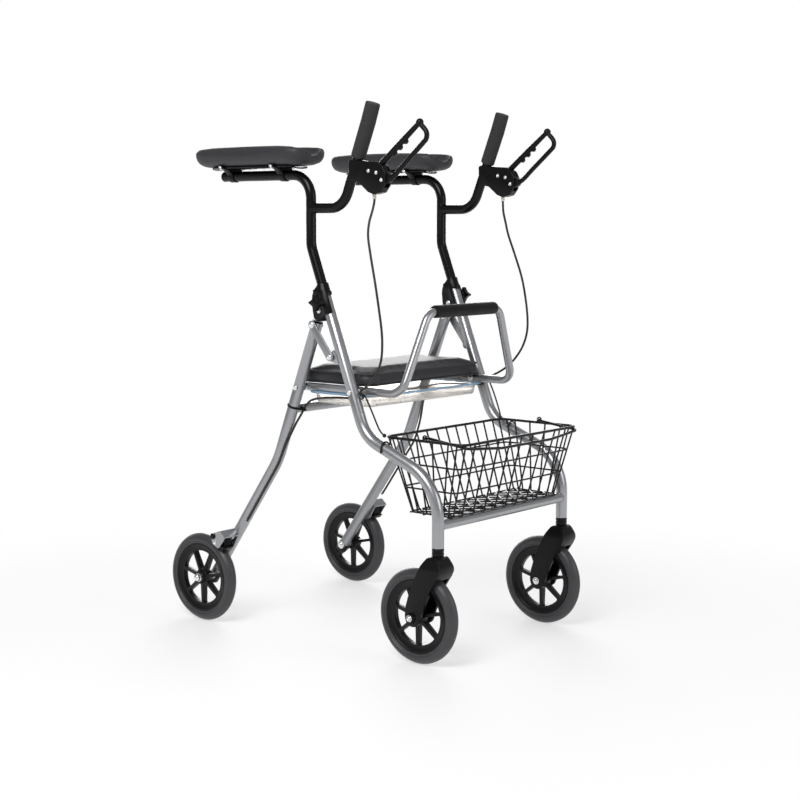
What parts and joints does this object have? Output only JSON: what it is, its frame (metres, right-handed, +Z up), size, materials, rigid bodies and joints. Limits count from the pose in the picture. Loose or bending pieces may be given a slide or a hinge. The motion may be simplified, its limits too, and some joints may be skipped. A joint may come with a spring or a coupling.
{
  "type": "four-wheel walking frame",
  "caption": "Folding four-wheel walking frame with forearm pads on height-adjustable supports, hand brakes, a padded seat, a clear tray and a wire basket.",
  "frame": {"origin": "middle of the base: the centre of the bounding box, on the floor", "axes": "+Z up, -Y the way the user walks (swivel wheels at -Y), +X the user's left"},
  "size_m": [0.5598, 0.8227, 1.1509],
  "materials": {
    "frame_silver": "silver-grey metallic powder coat, satin",
    "arm_black": "satin black paint",
    "moulded_black": "moulded black plastic, light grain",
    "wheel_black": "moulded black plastic, satin",
    "tyre_grey": "dark grey rubber, matt",
    "bolt_steel": "bright zinc-plated steel",
    "grip_rubber": "black rubber, matt",
    "pad_vinyl": "black vinyl over foam, soft sheen",
    "seat_vinyl": "black vinyl over foam, soft sheen",
    "foam_black": "black closed-cell foam, matt",
    "tray_clear": "clear plastic with a faint blue edge",
    "wire_black": "black coated wire, satin",
    "cable_black": "black cable sheath, satin"
  },
  "bodies": {
    "front_frame": {"front_leg_left": "frame_silver", "front_leg_right": "frame_silver", "front_cross_tube": "frame_silver", "leg_clamp_left": "moulded_black", "leg_clamp_right": "moulded_black", "stem_bush_left": "moulded_black", "stem_bush_right": "moulded_black", "seat_pivot_left": "bolt_steel", "seat_pivot_right": "bolt_steel", "basket_front": "wire_black", "basket_back": "wire_black", "basket_side_left": "wire_black", "basket_side_right": "wire_black", "basket_floor": "wire_black"},
    "seat": {"seat_frame": "frame_silver", "loop_grip": "foam_black", "seat_cushion": "seat_vinyl", "tray": "tray_clear"},
    "rear_frame": {"rear_leg_left": "frame_silver", "rear_leg_right": "frame_silver", "rear_cross_tube": "frame_silver", "rear_axle_left": "bolt_steel", "rear_axle_right": "bolt_steel", "brake_bracket_left": "frame_silver", "brake_bracket_right": "frame_silver", "brake_cable_lower_left": "cable_black", "brake_cable_lower_right": "cable_black"},
    "basket_bail": {"basket_bail": "wire_black"},
    "link_left": {"fold_link_left": "frame_silver"},
    "caster_left": {"fork_left": "moulded_black", "front_axle_left": "bolt_steel"},
    "front_roller_left": {"front_wheel_left": "wheel_black", "front_tyre_left": "tyre_grey"},
    "rear_roller_left": {"rear_wheel_left": "wheel_black", "rear_tyre_left": "tyre_grey"},
    "arm_left": {"arm_tube_left": "arm_black", "hand_grip_left": "grip_rubber", "lever_housing_left": "moulded_black", "brake_cable_upper_left": "cable_black"},
    "knob_left": {"clamp_knob_left": "moulded_black"},
    "lever_left": {"brake_lever_left": "moulded_black"},
    "shoe_left": {"brake_shoe_left": "moulded_black"},
    "pad_left": {"arm_pad_left": "pad_vinyl", "pad_carrier_left": "moulded_black"},
    "link_right": {"fold_link_right": "frame_silver"},
    "caster_right": {"fork_right": "moulded_black", "front_axle_right": "bolt_steel"},
    "front_roller_right": {"front_wheel_right": "wheel_black", "front_tyre_right": "tyre_grey"},
    "rear_roller_right": {"rear_wheel_right": "wheel_black", "rear_tyre_right": "tyre_grey"},
    "arm_right": {"arm_tube_right": "arm_black", "hand_grip_right": "grip_rubber", "lever_housing_right": "moulded_black", "brake_cable_upper_right": "cable_black"},
    "knob_right": {"clamp_knob_right": "moulded_black"},
    "lever_right": {"brake_lever_right": "moulded_black"},
    "shoe_right": {"brake_shoe_right": "moulded_black"},
    "pad_right": {"arm_pad_right": "pad_vinyl", "pad_carrier_right": "moulded_black"}
  },
  "joints": [
    {"name": "seat_fold", "type": "hinge", "parent": "front_frame", "child": "seat", "pos_m": [0, -0.1125, 0.55], "axis": [-1, 0, 0], "range_deg": [0, 50]},
    {"name": "rear_frame_fold", "type": "hinge", "parent": "seat", "child": "rear_frame", "pos_m": [0, 0.0425, 0.55], "axis": [1, 0, 0], "range_deg": [0, 18], "deforming": ["brake_cable_lower_left", "brake_cable_lower_right"]},
    {"name": "fold_link_swing_left", "type": "hinge", "parent": "front_frame", "child": "link_left", "pos_m": [0.2378, -0.0615, 0.622], "axis": [-1, 0, 0], "range_deg": [0, 90]},
    {"name": "caster_swivel_left", "type": "hinge", "parent": "front_frame", "child": "caster_left", "pos_m": [0.222, -0.3425, 0.231], "axis": [0, 0, 1], "continuous": true},
    {"name": "front_wheel_spin_left", "type": "hinge", "parent": "caster_left", "child": "front_roller_left", "pos_m": [0.222, -0.2935, 0.1], "axis": [1, 0, 0], "continuous": true},
    {"name": "rear_wheel_spin_left", "type": "hinge", "parent": "rear_frame", "child": "rear_roller_left", "pos_m": [0.2575, 0.3115, 0.1], "axis": [1, 0, 0], "continuous": true},
    {"name": "arm_height_left", "type": "slide", "parent": "front_frame", "child": "arm_left", "axis": [0, 0.3584, 0.9336], "range_m": [-0.02, 0.1], "deforming": ["brake_cable_upper_left"]},
    {"name": "clamp_knob_turn_left", "type": "hinge", "parent": "front_frame", "child": "knob_left", "pos_m": [0.243, -0.0387, 0.7362], "axis": [1, 0, 0], "range_deg": [0, 360]},
    {"name": "brake_lever_squeeze_left", "type": "hinge", "parent": "arm_left", "child": "lever_left", "pos_m": [0.222, -0.1905, 0.992], "axis": [-1, 0, 0], "range_deg": [0, 14], "stiffness_Nm_per_rad": 1.5, "springref_deg": -8.59},
    {"name": "brake_shoe_swing_left", "type": "hinge", "parent": "rear_frame", "child": "shoe_left", "pos_m": [0.2575, 0.2575, 0.2035], "axis": [1, 0, 0], "range_deg": [0, 3.2]},
    {"name": "pad_slide_left", "type": "slide", "parent": "arm_left", "child": "pad_left", "axis": [0, 1, 0], "range_m": [-0.015, 0.018]},
    {"name": "fold_link_swing_right", "type": "hinge", "parent": "front_frame", "child": "link_right", "pos_m": [-0.2378, -0.0615, 0.622], "axis": [-1, 0, 0], "range_deg": [0, 90]},
    {"name": "caster_swivel_right", "type": "hinge", "parent": "front_frame", "child": "caster_right", "pos_m": [-0.222, -0.3425, 0.231], "axis": [0, 0, 1], "continuous": true},
    {"name": "front_wheel_spin_right", "type": "hinge", "parent": "caster_right", "child": "front_roller_right", "pos_m": [-0.222, -0.2935, 0.1], "axis": [1, 0, 0], "continuous": true},
    {"name": "rear_wheel_spin_right", "type": "hinge", "parent": "rear_frame", "child": "rear_roller_right", "pos_m": [-0.2575, 0.3115, 0.1], "axis": [1, 0, 0], "continuous": true},
    {"name": "arm_height_right", "type": "slide", "parent": "front_frame", "child": "arm_right", "axis": [0, 0.3584, 0.9336], "range_m": [-0.02, 0.1], "deforming": ["brake_cable_upper_right"]},
    {"name": "clamp_knob_turn_right", "type": "hinge", "parent": "front_frame", "child": "knob_right", "pos_m": [-0.243, -0.0387, 0.7362], "axis": [-1, 0, 0], "range_deg": [0, 360]},
    {"name": "brake_lever_squeeze_right", "type": "hinge", "parent": "arm_right", "child": "lever_right", "pos_m": [-0.222, -0.1905, 0.992], "axis": [-1, 0, 0], "range_deg": [0, 14], "stiffness_Nm_per_rad": 1.5, "springref_deg": -8.59},
    {"name": "brake_shoe_swing_right", "type": "hinge", "parent": "rear_frame", "child": "shoe_right", "pos_m": [-0.2575, 0.2575, 0.2035], "axis": [1, 0, 0], "range_deg": [0, 3.2]},
    {"name": "pad_slide_right", "type": "slide", "parent": "arm_right", "child": "pad_right", "axis": [0, 1, 0], "range_m": [-0.015, 0.018]},
    {"name": "basket_bail_swing", "type": "hinge", "parent": "front_frame", "child": "basket_bail", "pos_m": [0, -0.2925, 0.4662], "axis": [-1, 0, 0], "range_deg": [0, 100]}
  ],
  "couplings": [
    {"joint": "rear_frame_fold", "follows": "seat_fold", "ratio": 0.354},
    {"joint": "fold_link_swing_left", "follows": "seat_fold", "ratio": 1.695},
    {"joint": "brake_shoe_swing_left", "follows": "brake_lever_squeeze_left", "ratio": 0.2285},
    {"joint": "fold_link_swing_right", "follows": "seat_fold", "ratio": 1.695},
    {"joint": "brake_shoe_swing_right", "follows": "brake_lever_squeeze_right", "ratio": 0.2285}
  ]
}
